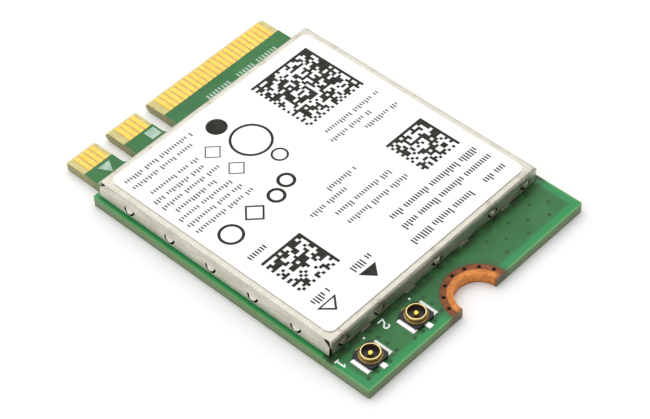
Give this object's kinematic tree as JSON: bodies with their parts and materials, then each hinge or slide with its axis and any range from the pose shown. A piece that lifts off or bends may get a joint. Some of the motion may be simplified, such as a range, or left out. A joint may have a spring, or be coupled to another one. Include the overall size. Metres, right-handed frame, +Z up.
{
  "type": "wireless network card",
  "caption": "Small keyed plug-in circuit board with a shielded radio under a labelled sheet-metal lid, gold edge contacts, push-on antenna jacks and a half-round screw notch.",
  "frame": {"origin": "middle of the board's outline on its underside", "axes": "+Y towards the contact edge, +Z up out of the shielded face, +X to the right seen from above with the contact edge ahead"},
  "size_m": [0.022, 0.03, 0.0022],
  "materials": {
    "laminate": "green solder mask over glass laminate",
    "gold_plating": "gold plated, bright",
    "copper": "bare copper",
    "shield_sheet": "tin-plated sheet, satin",
    "solder": "bright solder",
    "label_film": "white printed film",
    "insulator": "black moulded",
    "chip_package": "black moulded package",
    "metal_cap": "plated cap on a ceramic base",
    "ceramic_body": "fired ceramic",
    "resistor_body": "dark glazed ceramic",
    "ferrite": "grey ferrite"
  },
  "bodies": {
    "root": {"printed_circuit_board": "laminate", "edge_contacts_top": "gold_plating", "edge_contacts_bottom": "gold_plating", "mounting_pad": "copper", "shield_lid": "shield_sheet", "shield_frame": "shield_sheet", "shield_solder": "solder", "label": "label_film", "antenna_jack_1_shell": "gold_plating", "antenna_jack_1_pin": "gold_plating", "antenna_jack_1_housing": "insulator", "antenna_jack_1_solder": "solder", "antenna_jack_2_shell": "gold_plating", "antenna_jack_2_pin": "gold_plating", "antenna_jack_2_housing": "insulator", "antenna_jack_2_solder": "solder", "radio_chip": "chip_package", "memory_chip": "chip_package", "front_end_module_1": "chip_package", "front_end_module_2": "chip_package", "reference_crystal": "metal_cap", "diplexer_1": "ceramic_body", "diplexer_2": "ceramic_body", "ceramic_capacitors": "ceramic_body", "chip_resistors": "resistor_body", "power_inductors": "ferrite"}
  },
  "joints": []
}
